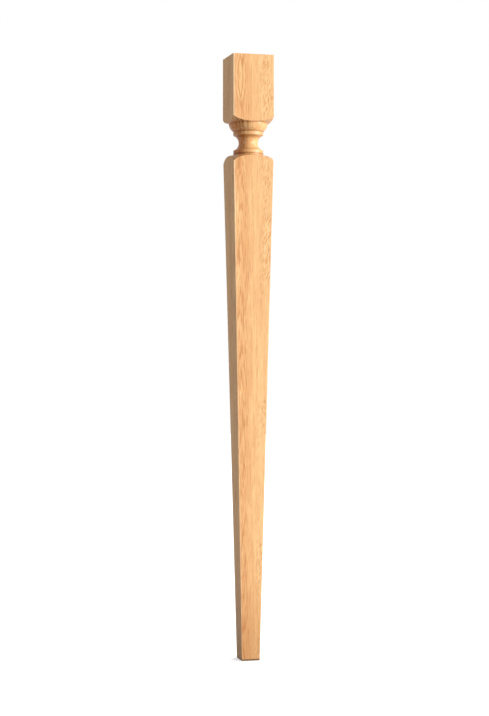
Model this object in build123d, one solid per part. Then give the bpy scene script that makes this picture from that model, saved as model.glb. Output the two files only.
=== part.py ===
"""Square tapered furniture leg with a turned neck, made from one piece of solid oak.

The stock is sawn square, left parallel at the top as the block that takes the rails, and tapered on all
four sides below the neck. The neck is then turned on the lathe: an ovolo, a fillet, a cove and a second
fillet, with the ends of both squares swept into shoulders. So the leg is what the stock and the turned
form have in common.

Millimetres, +Z up. The origin is on the floor at the middle of the foot, and the faces look along X and Y.
"""

import math
import os

from build123d import *

# Square stock
LEG_LENGTH = 720.0
BLOCK_WIDTH = 50.0
BLOCK_LENGTH = 79.5
TAPER_TOP_WIDTH = 49.5
FOOT_WIDTH = 22.5
ARRIS_RADIUS = 0.5
FOOT_CHAMFER = 1.0

# Turned neck, from the block down
OVOLO_DIAMETER = 46.5
OVOLO_LENGTH = 10.0
FILLET_DIAMETER = 36.0
UPPER_FILLET_LENGTH = 4.5
COVE_LENGTH = 18.0
WAIST_DIAMETER = 23.0
LOWER_FILLET_LENGTH = 6.0

# Shoulders: how far each sweep runs along the corners of its square, and how far it bulges past a cone
UPPER_SHOULDER_LENGTH = 6.5
UPPER_SHOULDER_BULGE = 1.1
LOWER_SHOULDER_LENGTH = 9.1
LOWER_SHOULDER_BULGE = 2.35

# How far the turned form reaches outside the stock
TURNING_MARGIN = 5.0

# Heights above the floor, worked out downwards from the top
block_z = LEG_LENGTH - BLOCK_LENGTH
upper_fillet_z = block_z - OVOLO_LENGTH
cove_top_z = upper_fillet_z - UPPER_FILLET_LENGTH
waist_z = cove_top_z - COVE_LENGTH / 2
cove_bottom_z = cove_top_z - COVE_LENGTH
taper_top_z = cove_bottom_z - LOWER_FILLET_LENGTH


def crossed_elevations(half_outline):
    """Square-section solid that shows the mirrored half outline both along X and along Y."""
    reach = max(x for x, z in half_outline)
    with BuildPart() as elevation:
        with BuildSketch(Plane.XZ):
            with BuildLine():
                Polyline(half_outline, close=True)
            make_face()
            mirror(about=Plane.YZ)
        extrude(amount=reach, both=True)
    return elevation.part & elevation.part.rotate(Axis.Z, 90)


def square_stock():
    """Block and taper as one square length, with its long edges eased and a chamfer round the foot."""
    stock = crossed_elevations([
        (0, 0),
        (FOOT_WIDTH / 2, 0),
        (TAPER_TOP_WIDTH / 2, taper_top_z),
        (BLOCK_WIDTH / 2, taper_top_z),
        (BLOCK_WIDTH / 2, LEG_LENGTH),
        (0, LEG_LENGTH),
    ])
    long_edges = [edge for edge in stock.edges() if abs((edge % 0.5).Z) > 0.5]
    stock = fillet(long_edges, ARRIS_RADIUS)

    rest_half_width = FOOT_WIDTH / 2 - FOOT_CHAMFER
    chamfer_limits = crossed_elevations([
        (0, 0),
        (rest_half_width, 0),
        (rest_half_width + LEG_LENGTH, LEG_LENGTH),
        (0, LEG_LENGTH),
    ])
    return stock & chamfer_limits


def corner_radius(width):
    """Distance from the leg's axis to the eased corner of a square of this width."""
    return (width / 2 - ARRIS_RADIUS) * math.sqrt(2) + ARRIS_RADIUS


def turned_form():
    """Revolved profile of the neck, opening past the corners of the square above and below it."""
    ovolo_radius = OVOLO_DIAMETER / 2
    fillet_radius = FILLET_DIAMETER / 2
    upper_corner = (corner_radius(BLOCK_WIDTH), block_z + UPPER_SHOULDER_LENGTH)
    lower_corner = (corner_radius(TAPER_TOP_WIDTH), taper_top_z - LOWER_SHOULDER_LENGTH)
    top_z = LEG_LENGTH + TURNING_MARGIN
    bottom_z = -TURNING_MARGIN

    with BuildPart() as turning:
        with BuildSketch(Plane.XZ):
            with BuildLine():
                upper_sweep = SagittaArc((ovolo_radius, block_z), upper_corner, -UPPER_SHOULDER_BULGE)
                upper_run_out = Line(upper_sweep @ 1, upper_sweep @ 1 + TURNING_MARGIN * (upper_sweep % 1))
                TangentArc((ovolo_radius, block_z), (fillet_radius, upper_fillet_z), tangent=(0, -1))
                Line((fillet_radius, upper_fillet_z), (fillet_radius, cove_top_z))
                ThreePointArc((fillet_radius, cove_top_z), (WAIST_DIAMETER / 2, waist_z),
                              (fillet_radius, cove_bottom_z))
                Line((fillet_radius, cove_bottom_z), (fillet_radius, taper_top_z))
                lower_sweep = SagittaArc((fillet_radius, taper_top_z), lower_corner, LOWER_SHOULDER_BULGE)
                lower_run_out = Line(lower_sweep @ 1, lower_sweep @ 1 + TURNING_MARGIN * (lower_sweep % 1))
                Polyline(lower_run_out @ 1, ((lower_run_out @ 1).X, bottom_z), (0, bottom_z), (0, top_z),
                         ((upper_run_out @ 1).X, top_z), upper_run_out @ 1)
            make_face()
        revolve(axis=Axis.Z)
    return turning.part


leg = square_stock() & turned_form()
leg.label = "leg"

os.makedirs("parts", exist_ok=True)
export_step(leg, "parts/leg.step")
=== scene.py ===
"""Looks of a tapered oak furniture leg with a turned neck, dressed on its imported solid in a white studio.

Metres, +Z up, in the solid's own frame: the origin is on the floor at the middle of the foot.
"""

import math

import bpy
import numpy as np
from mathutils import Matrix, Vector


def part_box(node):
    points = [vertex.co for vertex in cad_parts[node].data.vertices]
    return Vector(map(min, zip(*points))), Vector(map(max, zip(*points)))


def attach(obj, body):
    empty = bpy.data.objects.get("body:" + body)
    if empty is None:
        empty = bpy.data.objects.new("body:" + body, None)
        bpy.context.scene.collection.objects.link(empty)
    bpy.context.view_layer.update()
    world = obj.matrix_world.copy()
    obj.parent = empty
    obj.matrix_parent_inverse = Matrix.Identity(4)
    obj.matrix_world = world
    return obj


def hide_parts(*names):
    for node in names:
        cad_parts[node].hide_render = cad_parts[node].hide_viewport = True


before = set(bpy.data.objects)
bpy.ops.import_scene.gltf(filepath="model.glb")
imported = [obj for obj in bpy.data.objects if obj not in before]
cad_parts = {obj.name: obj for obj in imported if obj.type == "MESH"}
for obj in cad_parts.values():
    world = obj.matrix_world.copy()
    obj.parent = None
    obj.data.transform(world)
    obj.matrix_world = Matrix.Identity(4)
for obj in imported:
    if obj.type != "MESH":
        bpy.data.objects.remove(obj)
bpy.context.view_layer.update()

# The leg is one length of solid oak, left square at the top as the block that takes the rails and planed
# to a taper on all four sides below the neck. The neck is turned on the lathe between the two squares,
# whose ends are swept into round shoulders. The long edges are eased by hand, and the finish is clear.
leg_low, leg_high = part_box("leg")
LEG_LENGTH = leg_high.z - leg_low.z
BLOCK_WIDTH = leg_high.x - leg_low.x
BLOCK_LENGTH = 0.0795
TAPER_TOP_WIDTH = 0.0495
FOOT_WIDTH = 0.0225
EDGE_EASING = 0.0005
FOOT_CHAMFER = 0.001
REST_EASING = 0.0002
OVOLO_RADIUS = 0.02325
OVOLO_LENGTH = 0.010
FILLET_RADIUS = 0.018
UPPER_FILLET_LENGTH = 0.0045
COVE_LENGTH = 0.018
WAIST_RADIUS = 0.0115
LOWER_FILLET_LENGTH = 0.006
UPPER_SHOULDER_LENGTH = 0.0065
UPPER_SHOULDER_BULGE = 0.0011
LOWER_SHOULDER_LENGTH = 0.0091
LOWER_SHOULDER_BULGE = 0.00235
CREASE_ANGLE = math.radians(25)

block_z = LEG_LENGTH - BLOCK_LENGTH
upper_fillet_z = block_z - OVOLO_LENGTH
cove_top_z = upper_fillet_z - UPPER_FILLET_LENGTH
waist_z = cove_top_z - COVE_LENGTH / 2
cove_bottom_z = cove_top_z - COVE_LENGTH
taper_top_z = cove_bottom_z - LOWER_FILLET_LENGTH


def square_outline(flat_steps=40, corner_steps=6):
    """Core points and outward normals once round a square with eased corners.

    A square of half width h and easing e has its points at (h - e) * core + e * normal. Along a flat the
    core runs from -1 to 1 by the sine of even steps, so it is closer near the corners, and the normal
    stands still. Round a corner the core stands still and the normal turns through a right angle.
    """
    run = np.sin(np.linspace(-math.pi / 2, math.pi / 2, flat_steps + 1))
    turn = np.linspace(0, math.pi / 2, corner_steps + 1)[1:-1]
    flat_core = np.stack([run, -np.ones_like(run)], axis=1)
    flat_normal = np.tile([0.0, -1.0], (run.size, 1))
    corner_core = np.tile([1.0, -1.0], (turn.size, 1))
    corner_normal = np.stack([np.sin(turn), -np.cos(turn)], axis=1)
    side_core = np.concatenate([flat_core, corner_core])
    side_normal = np.concatenate([flat_normal, corner_normal])
    quarter_turn = np.array([[0.0, 1.0], [-1.0, 0.0]])
    turns = [np.linalg.matrix_power(quarter_turn, side) for side in range(4)]
    core = np.concatenate([side_core @ turned for turned in turns])
    normal = np.concatenate([side_normal @ turned for turned in turns])
    return core, normal


def shoulder_arc(neck_point, corner_point, bulge):
    """Centre and radius of a shallow arc between two (radius, height) points.

    With half the chord c and the bulge b, the radius is (c * c + b * b) / (2 * b), and the centre lies on
    the chord's middle line, inside the wood, which is towards the axis and away from the neck.
    """
    neck_point = np.array(neck_point)
    corner_point = np.array(corner_point)
    half_chord = np.linalg.norm(corner_point - neck_point) / 2
    radius = (half_chord**2 + bulge**2) / (2 * bulge)
    along = (corner_point - neck_point) / (2 * half_chord)
    inwards = np.array([-abs(along[1]), math.copysign(along[0], along[1])])
    centre = (neck_point + corner_point) / 2 + (radius - bulge) * inwards
    return centre, radius


def leg_surface():
    """Rows of points from the top of the leg to its foot, each once round the leg, and two marks on them.

    The marks are whether each row is turned or planed, and for each column how far it is from the middle of
    its face, as 0, to the edge, as 1.

    Column by column the surface goes down a face of the block, in along the upper shoulder, down the turned
    profile, out along the lower shoulder and down a face of the taper. The rows where two of these meet lie
    exactly on the curve where they meet: for a shoulder, the height of its arc at the reach of the square.
    """
    BLOCK_STEPS = 12
    UPPER_SHOULDER_STEPS = 24
    OVOLO_STEPS = 16
    UPPER_FILLET_STEPS = 8
    COVE_STEPS = 28
    LOWER_FILLET_STEPS = 10
    LOWER_SHOULDER_STEPS = 26
    TAPER_STEPS = 60
    SUBSTITUTIONS = 8
    core, normal = square_outline()

    def square(half_width, easing=EDGE_EASING):
        """Points of the eased square, for one half width or for one that differs from point to point."""
        return (np.asarray(half_width)[..., None] - easing) * core + easing * normal

    def taper_half_width(height):
        """Straight line from half the foot's width at the floor to half the taper's width at its top."""
        return FOOT_WIDTH / 2 + (TAPER_TOP_WIDTH - FOOT_WIDTH) / 2 * height / taper_top_z

    def eased_corner_reach(width):
        """Distance from the axis to an eased corner: the diagonal of the core, plus the easing."""
        return (width / 2 - EDGE_EASING) * math.sqrt(2) + EDGE_EASING

    def steps(count):
        """Even steps from 0 to 1, one to a row."""
        return np.linspace(0, 1, count + 1)[:, None]

    def rows(flat_points, heights):
        """Points (x, y) and heights, both spread out to the same grid and joined."""
        shape = np.broadcast_shapes(flat_points.shape[:-1], heights.shape)
        flat_points = np.broadcast_to(flat_points, shape + (2,))
        return np.concatenate([flat_points, np.broadcast_to(heights, shape)[..., None]], axis=-1)

    def turned_rows(radii, heights, bearing):
        """Points at these radii from the axis: radius times the cosine and the sine of the bearing."""
        directions = np.stack([np.cos(bearing), np.sin(bearing)], axis=-1)
        return rows(radii[..., None] * directions, heights)

    # Block, from its top edge down to the curve that the upper shoulder cuts across each face
    block_square = square(BLOCK_WIDTH / 2)
    block_reach = np.linalg.norm(block_square, axis=-1)
    bearing = np.arctan2(block_square[:, 1], block_square[:, 0])
    (arc_r, arc_z), arc_radius = shoulder_arc(
        (OVOLO_RADIUS, block_z),
        (eased_corner_reach(BLOCK_WIDTH), block_z + UPPER_SHOULDER_LENGTH),
        UPPER_SHOULDER_BULGE,
    )
    block_end = arc_z - np.sqrt(arc_radius**2 - (block_reach - arc_r) ** 2)
    block_rows = rows(block_square, LEG_LENGTH + steps(BLOCK_STEPS) * (block_end - LEG_LENGTH))

    # Upper shoulder, in from the faces to the ovolo
    radii = block_reach + steps(UPPER_SHOULDER_STEPS) * (OVOLO_RADIUS - block_reach)
    heights = arc_z - np.sqrt(arc_radius**2 - (radii - arc_r) ** 2)
    upper_shoulder_rows = turned_rows(radii, heights, bearing)

    # Ovolo: an arc that leaves the shoulder upright and curves in to the fillet below it
    ovolo_depth = OVOLO_RADIUS - FILLET_RADIUS
    ovolo_curve = (OVOLO_LENGTH**2 + ovolo_depth**2) / (2 * ovolo_depth)
    ovolo_turn = steps(OVOLO_STEPS) * math.asin(OVOLO_LENGTH / ovolo_curve)
    radii = OVOLO_RADIUS - ovolo_curve * (1 - np.cos(ovolo_turn))
    heights = block_z - ovolo_curve * np.sin(ovolo_turn)
    ovolo_rows = turned_rows(radii, heights, bearing)

    # Upper fillet: a short cylinder
    heights = upper_fillet_z + steps(UPPER_FILLET_STEPS) * (cove_top_z - upper_fillet_z)
    upper_fillet_rows = turned_rows(np.full_like(heights, FILLET_RADIUS), heights, bearing)

    # Cove: a hollow arc, narrowest at the waist
    cove_depth = FILLET_RADIUS - WAIST_RADIUS
    cove_curve = ((COVE_LENGTH / 2) ** 2 + cove_depth**2) / (2 * cove_depth)
    cove_turn = (1 - 2 * steps(COVE_STEPS)) * math.asin(COVE_LENGTH / 2 / cove_curve)
    radii = WAIST_RADIUS + cove_curve * (1 - np.cos(cove_turn))
    heights = waist_z + cove_curve * np.sin(cove_turn)
    cove_rows = turned_rows(radii, heights, bearing)

    # Lower fillet: a second short cylinder
    heights = cove_bottom_z + steps(LOWER_FILLET_STEPS) * (taper_top_z - cove_bottom_z)
    lower_fillet_rows = turned_rows(np.full_like(heights, FILLET_RADIUS), heights, bearing)

    # Lower shoulder, out to the faces of the taper; where they meet is found by repeated substitution
    (arc_r, arc_z), arc_radius = shoulder_arc(
        (FILLET_RADIUS, taper_top_z),
        (eased_corner_reach(TAPER_TOP_WIDTH), taper_top_z - LOWER_SHOULDER_LENGTH),
        LOWER_SHOULDER_BULGE,
    )
    taper_start = np.full(len(core), taper_top_z)
    for _ in range(SUBSTITUTIONS):
        taper_reach = np.linalg.norm(square(taper_half_width(taper_start)), axis=-1)
        taper_start = arc_z + np.sqrt(arc_radius**2 - (taper_reach - arc_r) ** 2)
    taper_square = square(taper_half_width(taper_start))
    taper_reach = np.linalg.norm(taper_square, axis=-1)
    sideways = np.arctan2(taper_square[:, 1], taper_square[:, 0]) - bearing
    sideways = (sideways + math.pi) % (2 * math.pi) - math.pi
    outwards = steps(LOWER_SHOULDER_STEPS)
    radii = FILLET_RADIUS + outwards * (taper_reach - FILLET_RADIUS)
    heights = arc_z + np.sqrt(arc_radius**2 - (radii - arc_r) ** 2)
    lower_shoulder_rows = turned_rows(radii, heights, bearing + outwards * sideways)

    # Taper, down to the small chamfer that is cut round the foot at 45 degrees
    rest_half_width = FOOT_WIDTH / 2 - FOOT_CHAMFER
    taper_end = np.full(len(core), FOOT_CHAMFER)
    for _ in range(SUBSTITUTIONS):
        taper_end = np.abs(square(taper_half_width(taper_end))).max(axis=-1) - rest_half_width
    heights = taper_start + steps(TAPER_STEPS) * (taper_end - taper_start)
    taper_rows = rows(square(taper_half_width(heights)), heights)
    rest_row = rows(square(rest_half_width, REST_EASING), np.zeros((1, 1)))

    neck = np.concatenate([
        upper_shoulder_rows[1:], ovolo_rows[1:], upper_fillet_rows[1:], cove_rows[1:],
        lower_fillet_rows[1:], lower_shoulder_rows[1:-1]])
    taper = np.concatenate([taper_rows, rest_row])
    is_turned = np.repeat([False, True, False], [len(block_rows), len(neck), len(taper)])
    edge_share = np.abs(core).min(axis=-1)
    return np.concatenate([block_rows, neck, taper]), is_turned, edge_share


def closed_tube(name, surface, first_end, last_end):
    """Mesh of a grid of points that closes on itself round each row, with a fan to one point at each end.

    The quad below point (i, j) joins (i, j), (i + 1, j), (i + 1, j + 1) and (i, j + 1), with the last
    column followed by the first again.
    """
    row_count, column_count, _ = surface.shape
    index = np.arange(row_count * column_count).reshape(row_count, column_count)
    beside = np.roll(index, -1, axis=1)
    quads = np.stack([index[:-1], index[1:], beside[1:], beside[:-1]], axis=-1).reshape(-1, 4)
    first_fan = np.stack([np.full(column_count, index.size), index[0], beside[0]], axis=-1)
    last_fan = np.stack([np.full(column_count, index.size + 1), beside[-1], index[-1]], axis=-1)
    points = np.concatenate([surface.reshape(-1, 3), [first_end, last_end]])
    mesh = bpy.data.meshes.new(name)
    mesh.from_pydata(points.tolist(), [], quads.tolist() + first_fan.tolist() + last_fan.tolist())
    return mesh


def bell(distance, width):
    """Bell curve: e to the power of minus the square of the distance over the width."""
    return np.exp(-((distance / width) ** 2))


def painted_corner_shade(surface):
    """How much painted shade lies at each point of a surface, from 0 to 1.

    It darkens the three inside corners of the neck and, more widely, the hollow under the lip of the cove,
    where shade falls. Each place is a radius and a height in the plane through the axis, with the width
    and the strength of a bell curve of the distance from it, and the strongest counts.
    """
    places = np.array([
        (OVOLO_RADIUS, block_z - 0.0006, 0.0010, 0.45),
        (FILLET_RADIUS, upper_fillet_z, 0.0010, 0.85),
        (FILLET_RADIUS - 0.0030, cove_top_z - 0.0017, 0.0030, 0.55),
        (FILLET_RADIUS, taper_top_z + 0.0018, 0.0011, 1.0),
    ])
    radii, heights, widths, strengths = places.T
    reach = np.linalg.norm(surface[..., :2], axis=-1)
    distance = np.hypot(reach[..., None] - radii, surface[..., 2:] - heights)
    return (strengths * bell(distance, widths)).max(axis=-1)


def torn_grain(surface, is_turned):
    """How far the fibres are torn, by a bell curve of the distance from one spot at the top of the ovolo.

    The spot is on the left of the front, where the tool met the rising grain, and only turned wood counts.
    """
    SPOT_BEARING = math.radians(-32)
    SPOT_WIDTH = 0.0095
    spot = (OVOLO_RADIUS * math.sin(SPOT_BEARING), -OVOLO_RADIUS * math.cos(SPOT_BEARING), block_z)
    distance = np.linalg.norm(surface - spot, axis=-1)
    return is_turned[:, None] * bell(distance, SPOT_WIDTH)


def edge_wear_and_highlight(surface, is_turned, edge_share):
    """How much paler the long edges are, by a bell curve of the distance from them: wear, and a painted
    highlight.

    The left edge of the front carries a painted highlight, as of its easing catching the light, out on to
    the front, strongest on the block and at the top of the taper, and less from there down. The other edges
    are worn a little, hardly past their easing.
    """
    FRONT_HIGHLIGHT_WIDTH = 0.0012
    FRONT_HIGHLIGHT_HEIGHTS = (0.43, 0.55)
    FRONT_HIGHLIGHT = (0.4, 1.0)
    OTHER_WEAR_WIDTH = 0.0004
    OTHER_WEAR = 0.2
    across, inwards, height = np.moveaxis(surface, -1, 0)
    half_width = np.maximum(np.abs(across), np.abs(inwards))
    from_edge = (1 - edge_share) * half_width
    on_front_left = (across < 0) & (inwards <= -np.abs(across))
    front_highlight = np.interp(height, FRONT_HIGHLIGHT_HEIGHTS, FRONT_HIGHLIGHT) * bell(from_edge, FRONT_HIGHLIGHT_WIDTH)
    other_wear = OTHER_WEAR * bell(from_edge, OTHER_WEAR_WIDTH)
    return ~is_turned[:, None] * np.where(on_front_left, front_highlight, other_wear)


def add_node(tree, kind, inputs, **settings):
    """Adds a node with these settings, and links or sets each input by its name or number."""
    node = tree.nodes.new(kind)
    for name, value in settings.items():
        setattr(node, name, value)
    for name, value in inputs.items():
        if isinstance(value, bpy.types.NodeSocket):
            tree.links.new(value, node.inputs[name])
        else:
            node.inputs[name].default_value = value
    return node


def oak_finish():
    """Solid oak under a clear matt finish, figured through and through in the log's own frame.

    The pith runs down inside the leg, towards the left of its front face. Distance from the pith counts the
    growth rings, the bearing round it places the rays, and the fibres run along it. Where the surface lies
    along the rings, their open earlywood shows as broad reddish flames and the rays show end on, as dark
    upright dashes. Where it cuts across the rings, they close up into straight lines and the rays show as
    short flecks. Wood close round the pith is paler and more even.
    """
    LATEWOOD = (0.995, 0.628, 0.292, 1)
    EARLYWOOD = (0.66, 0.280, 0.095, 1)
    HEART = (0.83, 0.430, 0.180, 1)
    PORE = (0.42, 0.170, 0.055, 1)
    FLECK = (0.66, 0.310, 0.110, 1)
    # Pale bare wood for the rays, and also a painted highlight on the front's left edge
    BARE_AND_HIGHLIGHT = (1.00, 0.740, 0.450, 1)
    END_GRAIN = (0.93, 0.87, 0.79, 1)
    # Turned wood that has drunk the finish, and partly painted warm shade on the neck's shaded side and at
    # the foot
    DEEP_AND_SHADE = (0.84, 0.46, 0.19, 1)
    TORN = (0.52, 0.35, 0.17, 1)
    # Painted shade, for the neck's corners and the foot
    PAINTED_SHADE = (0.48, 0.36, 0.22, 1)
    # Painted contact shadow on the foot's rim
    RIM_SHADE = (0.25, 0.24, 0.22, 1)

    oak = bpy.data.materials.new("oak")
    oak.use_nodes = True
    tree = oak.node_tree
    shader = tree.nodes["Principled BSDF"]

    def calc(operation, *values):
        """One step of arithmetic on numbers."""
        return add_node(tree, "ShaderNodeMath", dict(enumerate(values)), operation=operation).outputs[0]

    def calc_vector(operation, *values):
        """One step of arithmetic on vectors."""
        node = add_node(tree, "ShaderNodeVectorMath", dict(enumerate(values)), operation=operation)
        return node.outputs["Value" if operation in ("LENGTH", "DOT_PRODUCT") else "Vector"]

    def noise(place, per_metre, detail, output="Fac"):
        """Cloudy noise, with so many cells to the metre along each axis."""
        stretched = calc_vector("MULTIPLY", place, per_metre)
        inputs = {"Vector": stretched, "Scale": 1.0, "Detail": detail}
        return add_node(tree, "ShaderNodeTexNoise", inputs).outputs[output]

    def ramp(value, low, high, start=0.0, end=1.0):
        """Smooth step from start to end, as the value goes from low to high."""
        inputs = {"Value": value, "From Min": low, "From Max": high, "To Min": start, "To Max": end}
        return add_node(tree, "ShaderNodeMapRange", inputs, interpolation_type="SMOOTHSTEP").outputs[0]

    def mix(share, first, second, blend="MIX"):
        """The first colour with this share of the second laid over it, or multiplied into it."""
        inputs = {0: share, 6: first, 7: second}
        return add_node(tree, "ShaderNodeMix", inputs, data_type="RGBA", blend_type=blend).outputs[2]

    # The log's frame: along the pith, with the wander that makes flames and eyes
    PITH_PLACE = (-0.0085, 0.0, 0.0)
    PITH_LEAN = (math.radians(0.28), math.radians(-0.76), 0.0)
    HEIGHT_IN_LOG = 9.62
    WANDER_REACH = (0.0022, 0.0022, 0.0)
    LEVEL = (1.0, 1.0, 0.0)
    surface = add_node(tree, "ShaderNodeTexCoord", {})
    pith_inputs = {"Vector": surface.outputs["Object"], "Location": PITH_PLACE, "Rotation": PITH_LEAN}
    log = add_node(tree, "ShaderNodeMapping", pith_inputs, vector_type="TEXTURE").outputs[0]
    log = calc_vector("ADD", log, (0.0, 0.0, HEIGHT_IN_LOG))
    wander = calc_vector("SUBTRACT", noise(log, (110.0, 110.0, 10.0), 4.0, "Color"), (0.5, 0.5, 0.5))
    log = calc_vector("ADD", log, calc_vector("MULTIPLY", wander, WANDER_REACH))
    outwards = calc_vector("MULTIPLY", log, LEVEL)
    radius = calc_vector("LENGTH", outwards)
    bearing = calc_vector("NORMALIZE", outwards)
    along_ring = calc("ABSOLUTE", calc_vector("DOT_PRODUCT", bearing, surface.outputs["Normal"]))
    mature = ramp(radius, 0.006, 0.011, 0.35, 1.0)

    # Growth rings: each starts with a sharp band of open earlywood that closes slowly into pale latewood,
    # and is stronger or weaker by the weather of its year
    RING_WIDTH = 0.0007
    WEAKEST_YEAR = 0.40
    YEAR_SPREAD = 0.70
    years = calc("DIVIDE", radius, RING_WIDTH)
    season = calc("FRACT", years)
    weather = add_node(tree, "ShaderNodeTexWhiteNoise", {"W": calc("FLOOR", years)}, noise_dimensions="1D")
    opening = ramp(season, 0.0, 0.08)
    closing = ramp(season, 0.14, 0.70, 1.0, 0.0)
    broken = ramp(noise(log, (900.0, 900.0, 80.0), 2.0), 0.38, 0.58, 0.15, 1.0)
    strength = calc("MULTIPLY_ADD", weather.outputs["Value"], YEAR_SPREAD, WEAKEST_YEAR)
    earlywood = calc("MULTIPLY", calc("MULTIPLY", opening, closing), calc("MULTIPLY", strength, broken))

    # Tone along the board, fibres and open pores
    tone = noise(log, (110.0, 110.0, 13.0), 2.0)
    streak = noise(log, (420.0, 420.0, 7.0), 3.0)
    fibre = noise(log, (1500.0, 1500.0, 16.0), 4.0)
    pore = ramp(noise(log, (1400.0, 1400.0, 45.0), 1.0), 0.56, 0.68)
    pore = calc("MULTIPLY", pore, calc("ADD", earlywood, ramp(along_ring, 0.80, 1.0, 0.1, 0.6)))

    # Wild grain at the left edge of the front, where the fibres dip in and out of the face. Dark and calm
    # stretches take turns down the taper, each with its height and half its length, and have ragged ends.
    WILD_SIDE = (-0.26, -0.966, 0.0)
    WILD_STRETCHES = (
        (0.577, 0.016), (0.478, 0.018), (0.417, 0.020), (0.378, 0.013), (0.337, 0.016), (0.292, 0.030))
    CALM_STRETCHES = ((0.528, 0.048), (0.449, 0.016), (0.397, 0.010), (0.317, 0.010))
    RAGGED_ENDS = 0.08
    height = add_node(tree, "ShaderNodeSeparateXYZ", {0: surface.outputs["Object"]}).outputs[2]
    ragged_height = calc("MULTIPLY_ADD", calc("SUBTRACT", streak, 0.5), RAGGED_ENDS, height)
    wild_side = ramp(calc_vector("DOT_PRODUCT", bearing, WILD_SIDE), 0.925, 0.985)

    def grain_stretches(stretches):
        """Share of the strongest stretch: a smooth step from 1 at its middle to 0 at its ends."""
        strongest = 0.0
        for middle, half_length in stretches:
            away = calc("ABSOLUTE", calc("SUBTRACT", ragged_height, middle))
            strongest = calc("MAXIMUM", strongest, ramp(away, 0.0, half_length, 1.0, 0.0))
        return calc("MULTIPLY", strongest, wild_side)

    wild = grain_stretches(WILD_STRETCHES)
    calm = grain_stretches(CALM_STRETCHES)

    # Rays: thin sheets that stand out from the pith. Where the surface cuts across the rings they show in
    # patches as flecks and glints, and where it lies along the rings they show as dashes.
    RAY_SPACING = (0.06, 0.06, 0.0)
    RAY_SLANT = (math.radians(9), math.radians(-7), 0.0)
    RAY_DEPTH = (0.1, 0.1, 1.0)
    slant_inputs = {"Vector": log, "Rotation": RAY_SLANT, "Scale": RAY_DEPTH}
    slanted = add_node(tree, "ShaderNodeMapping", slant_inputs).outputs[0]
    sheet = calc_vector("ADD", calc_vector("MULTIPLY", bearing, RAY_SPACING), slanted)
    ray = noise(sheet, (900.0, 900.0, 190.0), 0.0)
    patch = ramp(noise(log, (60.0, 60.0, 14.0), 1.0), 0.42, 0.56)
    patch = calc("MULTIPLY", ramp(along_ring, 0.54, 0.74, 1.0, 0.0), patch)
    fleck = calc("MULTIPLY", ramp(ray, 0.52, 0.68), patch)
    glint = calc("MULTIPLY", ramp(ray, 0.30, 0.44, 1.0, 0.0), patch)
    dash = ramp(noise(sheet, (210.0, 210.0, 50.0), 1.0), 0.51, 0.66)
    crowded = calc("MAXIMUM", calc("MULTIPLY", ramp(along_ring, 0.88, 0.985), mature), wild)
    dash = calc("MULTIPLY", dash, calc("MULTIPLY", crowded, calc("SUBTRACT", 1.0, calm)))

    # An eye on the block, where the front face just cuts through one ring: two dark lines round a paler
    # lens, at steps of the distance across plus the squares of the distances inwards and along
    EYE_PLACE = (0.0017, -0.0217, HEIGHT_IN_LOG + 0.693)
    EYE_REACH = (0.0028, 0.0100, 0.025)
    EYE_LINE_WIDTH = 0.35
    eye = calc_vector("DIVIDE", calc_vector("SUBTRACT", log, EYE_PLACE), EYE_REACH)
    across, inwards, along = add_node(tree, "ShaderNodeSeparateXYZ", {0: eye}).outputs
    from_eye = calc("MULTIPLY_ADD", inwards, inwards, calc("ABSOLUTE", across))
    from_eye = calc("MULTIPLY_ADD", along, along, from_eye)

    def eye_line(place, strength):
        """Smooth step from the line's strength at its place to 0 at its width on both sides."""
        away = calc("ABSOLUTE", calc("SUBTRACT", from_eye, place))
        return ramp(away, 0.0, EYE_LINE_WIDTH, strength, 0.0)

    eye_lines = calc("MAXIMUM", eye_line(1.0, 0.90), eye_line(2.2, 0.45))
    eye_lens = ramp(from_eye, 1.6, 2.8, 0.55, 0.0)

    # Colour of the bare wood, from its ground up. The ground is darker where the surface lies along the
    # rings, where the board's tone is dark and where the grain is wild.
    TONE_STRENGTH = 1.2
    CALM_STRENGTH = 0.9
    FLECK_STRENGTH = 0.70
    GLINT_STRENGTH = 0.30
    DASH_STRENGTH = 0.82
    PORE_STRENGTH = 0.45
    heart = calc("MULTIPLY_ADD", calc("SUBTRACT", tone, 0.5), TONE_STRENGTH, along_ring)
    heart = calc("MULTIPLY", ramp(heart, 0.55, 1.06, 0.0, 0.72), mature)
    heart = calc("MULTIPLY", heart, calc("MULTIPLY_ADD", calm, -CALM_STRENGTH, 1.0))
    colour = mix(calc("MAXIMUM", heart, wild), LATEWOOD, HEART)
    colour = mix(ramp(streak, 0.42, 0.66, 0.0, 0.40), colour, HEART)
    colour = mix(ramp(fibre, 0.40, 0.75, 0.0, 0.30), colour, HEART)
    colour = mix(earlywood, colour, EARLYWOOD)
    colour = mix(eye_lens, colour, LATEWOOD)
    colour = mix(eye_lines, colour, EARLYWOOD)
    colour = mix(calc("MULTIPLY", fleck, FLECK_STRENGTH), colour, FLECK)
    colour = mix(calc("MULTIPLY", glint, GLINT_STRENGTH), colour, BARE_AND_HIGHLIGHT)
    colour = mix(calc("MULTIPLY", dash, DASH_STRENGTH), colour, EARLYWOOD)
    colour = mix(calc("MULTIPLY", pore, PORE_STRENGTH), colour, PORE)
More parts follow.
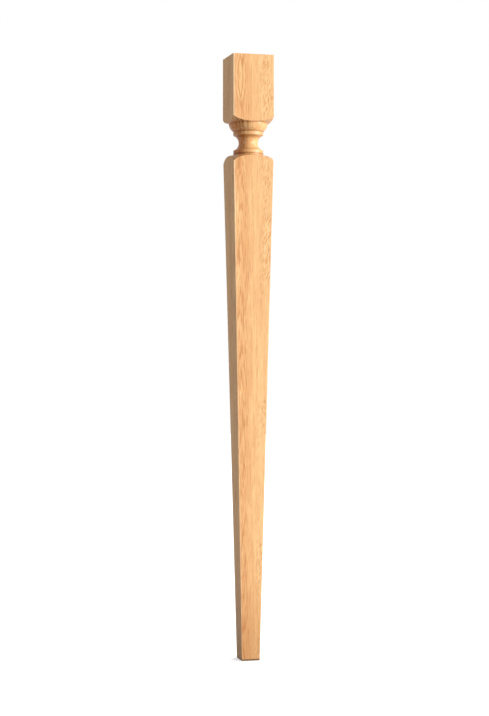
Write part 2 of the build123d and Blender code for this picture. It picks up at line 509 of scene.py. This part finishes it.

    # Worn edges are paler, and the left edge of the front is paler still with a painted highlight. End
    # grain is darker. So is turned wood that has drunk the finish, most of all near the pith and where it
    # is torn;
    # near the pith, on the neck's shaded side, that darkening is also painted warm shade. Painted shade
    # darkens the foot upwards from the floor, the inside corners of the neck and the hollow under the
    # cove's lip, and a painted contact shadow darkens the rim of the foot.
    END_ON = (0.30, 0.95)
    WEAR_AND_HIGHLIGHT_STRENGTH = 0.75
    FOOT_SHADE_HEIGHT = 0.13
    FOOT_SHADE_STRENGTH = 0.17
    RIM_SHADE_HEIGHTS = (0.0012, 0.0028)
    RIM_SHADE_STRENGTH = 0.95
    wear_and_highlight, turned, torn, corner_shade = (
        add_node(tree, "ShaderNodeAttribute", {}, attribute_name=mark).outputs["Fac"]
        for mark in ("edge_wear_and_highlight", "turned", "torn_grain", "painted_corner_shade"))
    upwards = add_node(tree, "ShaderNodeSeparateXYZ", {0: surface.outputs["Normal"]}).outputs[2]
    end_on = calc("ABSOLUTE", upwards)
    # Paler edges: light wear, and a painted highlight on the left edge of the front
    colour = mix(calc("MULTIPLY", wear_and_highlight, ramp(end_on, *END_ON, WEAR_AND_HIGHLIGHT_STRENGTH, 0.0)), colour, BARE_AND_HIGHLIGHT)
    colour = mix(ramp(end_on, *END_ON), colour, END_GRAIN, "MULTIPLY")
    # Turned wood drinks the finish. Near the pith, on the neck's shaded side, this darkening is also
    # painted warm shade.
    thirst_and_shade = ramp(noise(log, (650.0, 650.0, 20.0), 2.0), 0.42, 0.60, 0.3, 2.2)
    thirst_and_shade = calc("MULTIPLY", thirst_and_shade, ramp(radius, 0.008, 0.020, 0.55, 0.0))
    # Painted shade: the wood darker towards the foot, as it stands in the floor's contact shade
    painted_foot_shade = ramp(height, 0.0, FOOT_SHADE_HEIGHT, FOOT_SHADE_STRENGTH, 0.0)
    sunk_in_and_shade = calc("MAXIMUM", calc("MULTIPLY", turned, thirst_and_shade), painted_foot_shade)
    colour = mix(sunk_in_and_shade, colour, DEEP_AND_SHADE, "MULTIPLY")
    around = calc_vector("NORMALIZE", calc_vector("MULTIPLY", surface.outputs["Object"], LEVEL))
    split = ramp(noise(around, (18.0, 18.0, 0.0), 1.0), 0.42, 0.54)
    colour = mix(calc("MULTIPLY", torn, split), colour, TORN, "MULTIPLY")
    # Painted shade in the neck's corners, under the cove's lip and rising from the foot
    colour = mix(calc("MAXIMUM", corner_shade, painted_foot_shade), colour, PAINTED_SHADE, "MULTIPLY")
    # Painted contact shadow along the bottom rim of the foot
    colour = mix(ramp(height, *RIM_SHADE_HEIGHTS, RIM_SHADE_STRENGTH, 0.0), colour, RIM_SHADE, "MULTIPLY")
    tree.links.new(colour, shader.inputs["Base Color"])

    # The finish is matt, smoother on turned wood, and sinks into the pores
    PLANED_ROUGHNESS = 0.47
    TURNED_ROUGHNESS = 0.28
    FIBRE_ROUGHNESS = 0.16
    PORE_ROUGHNESS = 0.15
    FIBRE_RELIEF = 0.35
    RELIEF_STRENGTH = 0.25
    RELIEF_DEPTH = 0.0003
    roughness = calc("MULTIPLY_ADD", turned, TURNED_ROUGHNESS - PLANED_ROUGHNESS, PLANED_ROUGHNESS)
    roughness = calc("MULTIPLY_ADD", fibre, FIBRE_ROUGHNESS, roughness)
    roughness = calc("MULTIPLY_ADD", pore, PORE_ROUGHNESS, roughness)
    tree.links.new(roughness, shader.inputs["Roughness"])
    relief = calc("SUBTRACT", calc("MULTIPLY", fibre, FIBRE_RELIEF), pore)
    bump_inputs = {"Strength": RELIEF_STRENGTH, "Distance": RELIEF_DEPTH, "Height": relief}
    bump = add_node(tree, "ShaderNodeBump", bump_inputs).outputs[0]
    tree.links.new(bump, shader.inputs["Normal"])
    shader.inputs["IOR"].default_value = 1.46
    shader.inputs["Specular IOR Level"].default_value = 0.3
    return oak


leg_points, is_turned, edge_share = leg_surface()
leg_mesh = closed_tube("leg_turned_and_tapered", leg_points, (0, 0, LEG_LENGTH), (0, 0, 0))
# Marks on the points: turned or planed wood, painted shade in the neck's corners and under the cove's lip,
# torn grain, and edge wear with a painted highlight on the front's left edge.
marks = {
    "turned": np.broadcast_to(is_turned[:, None], leg_points.shape[:2]),
    "painted_corner_shade": painted_corner_shade(leg_points),
    "torn_grain": torn_grain(leg_points, is_turned),
    "edge_wear_and_highlight": edge_wear_and_highlight(leg_points, is_turned, edge_share),
}
END_POINT_MARKS = (0.0, 0.0)
for mark, values in marks.items():
    attribute = leg_mesh.attributes.new(mark, "FLOAT", "POINT")
    attribute.data.foreach_set("value", np.append(values, END_POINT_MARKS))
leg_mesh.polygons.foreach_set("use_smooth", np.ones(len(leg_mesh.polygons), dtype=bool))
leg_mesh.set_sharp_from_angle(angle=CREASE_ANGLE)
leg_mesh.materials.append(oak_finish())
leg = bpy.data.objects.new("leg_turned_and_tapered", leg_mesh)
bpy.context.collection.objects.link(leg)
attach(leg, "root")
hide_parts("leg")

# The floor is a plain white studio sheet. It shows white, with the leg's soft shadow on it close to the
# foot, and throws back less light there, where the leg stands in its own contact shade. It casts no shadow
# itself, because the low light reaches past its edge.
FLOOR_SIZE = 12.0
WHITE = (1, 1, 1, 1)
floor_corners = FLOOR_SIZE / 2 * np.array([(-1, -1, 0), (1, -1, 0), (1, 1, 0), (-1, 1, 0)])
floor_mesh = bpy.data.meshes.new("floor")
floor_mesh.from_pydata(floor_corners.tolist(), [], [(0, 1, 2, 3)])
floor = bpy.data.objects.new("floor", floor_mesh)
bpy.context.collection.objects.link(floor)
floor.visible_shadow = False


def seen_directly(tree):
    """1 for rays by which the camera sees a surface, straight or in gloss or glass, and 0 for the rest."""
    path = add_node(tree, "ShaderNodeLightPath", {}).outputs

    def either(first, second):
        """The larger of two shares."""
        return add_node(tree, "ShaderNodeMath", {0: first, 1: second}, operation="MAXIMUM").outputs[0]

    return either(either(path["Is Camera Ray"], path["Is Glossy Ray"]), path["Is Transmission Ray"])


def floor_finish():
    """White sheet: a glow of its own plus the light on it where it is seen, and plain grey where it lights.

    Both are darker round the foot, by a smooth step of the distance from it.
    """
    LIT_WHITE = (0.95, 0.95, 0.95, 1)
    SHADOW_REACH = (0.014, 0.028)
    SHADOW_GLOW = 0.54
    SHADE_REACH = (0.078, 0.182)
    SHADE_GREY = 0.02
    SHEET_GREY = 0.90
    sheet = bpy.data.materials.new("studio_sheet")
    sheet.use_nodes = True
    tree = sheet.node_tree
    tree.nodes.clear()
    place = add_node(tree, "ShaderNodeTexCoord", {}).outputs["Object"]
    away = add_node(tree, "ShaderNodeVectorMath", {0: place}, operation="LENGTH").outputs["Value"]

    def by_distance(near, far, start, end):
        """Smooth step from start to end, as the distance from the foot goes from near to far."""
        inputs = {"Value": away, "From Min": near, "From Max": far, "To Min": start, "To Max": end}
        return add_node(tree, "ShaderNodeMapRange", inputs, interpolation_type="SMOOTHSTEP").outputs[0]

    brightness = by_distance(*SHADOW_REACH, SHADOW_GLOW, 1.0)
    glow = add_node(tree, "ShaderNodeEmission", {"Color": WHITE, "Strength": brightness}).outputs[0]
    lit = add_node(tree, "ShaderNodeBsdfDiffuse", {"Color": LIT_WHITE}).outputs[0]
    white = add_node(tree, "ShaderNodeAddShader", {0: lit, 1: glow}).outputs[0]
    shade = by_distance(*SHADE_REACH, SHADE_GREY, SHEET_GREY)
    grey = add_node(tree, "ShaderNodeBsdfDiffuse", {"Color": shade}).outputs[0]
    seen = seen_directly(tree)
    surface = add_node(tree, "ShaderNodeMixShader", {0: seen, 1: grey, 2: white}).outputs[0]
    output = add_node(tree, "ShaderNodeOutputMaterial", {"Surface": surface})
    output.is_active_output = True
    return sheet


floor_mesh.materials.append(floor_finish())

# The light is one large soft source far off to the right of the leg and a little above it, so that it falls
# evenly from the block to the foot, with a weak even fill from the white room all round.
ROOM_FILL = (0.262, 0.262, 0.264, 1)
KEY_BEARING = math.radians(53)
KEY_HEIGHT = math.radians(7)
KEY_SPREAD = math.radians(28)
KEY_STRENGTH = 4.06
world = bpy.data.worlds.new("white_room")
world.use_nodes = True
room_tree = world.node_tree
room_tree.nodes.clear()
fill = add_node(room_tree, "ShaderNodeBackground", {"Color": ROOM_FILL, "Strength": 1.0}).outputs[0]
backdrop = add_node(room_tree, "ShaderNodeBackground", {"Color": WHITE, "Strength": 1.0}).outputs[0]
seen = seen_directly(room_tree)
room = add_node(room_tree, "ShaderNodeMixShader", {0: seen, 1: fill, 2: backdrop}).outputs[0]
add_node(room_tree, "ShaderNodeOutputWorld", {"Surface": room})
bpy.context.scene.world = world

soft_light = bpy.data.lights.new("soft_light", "SUN")
soft_light.angle = KEY_SPREAD
soft_light.energy = KEY_STRENGTH
key = bpy.data.objects.new("soft_light", soft_light)
bpy.context.collection.objects.link(key)
key.rotation_euler = (math.pi / 2 - KEY_HEIGHT, 0, KEY_BEARING)

# The camera stands level, halfway up the leg and to the left of its front face, so that it sees the front
# almost square on and the left side at a slant.
CAMERA_BEARING = math.radians(-15)
CAMERA_DISTANCE = 2.088
CAMERA_HEIGHT = 0.3603
CAMERA_SIDESTEP = 0.00445
LENS_MM = 87.76
camera_data = bpy.data.cameras.new("camera")
camera_data.lens = LENS_MM
camera = bpy.data.objects.new("camera", camera_data)
bpy.context.collection.objects.link(camera)
camera_right = np.array([math.cos(CAMERA_BEARING), math.sin(CAMERA_BEARING), 0.0])
camera_back = np.array([math.sin(CAMERA_BEARING), -math.cos(CAMERA_BEARING), 0.0])
camera.location = CAMERA_DISTANCE * camera_back - CAMERA_SIDESTEP * camera_right + [0, 0, CAMERA_HEIGHT]
camera.rotation_euler = (math.pi / 2, 0, CAMERA_BEARING)
bpy.context.scene.camera = camera
bpy.context.scene.view_settings.view_transform = "Standard"
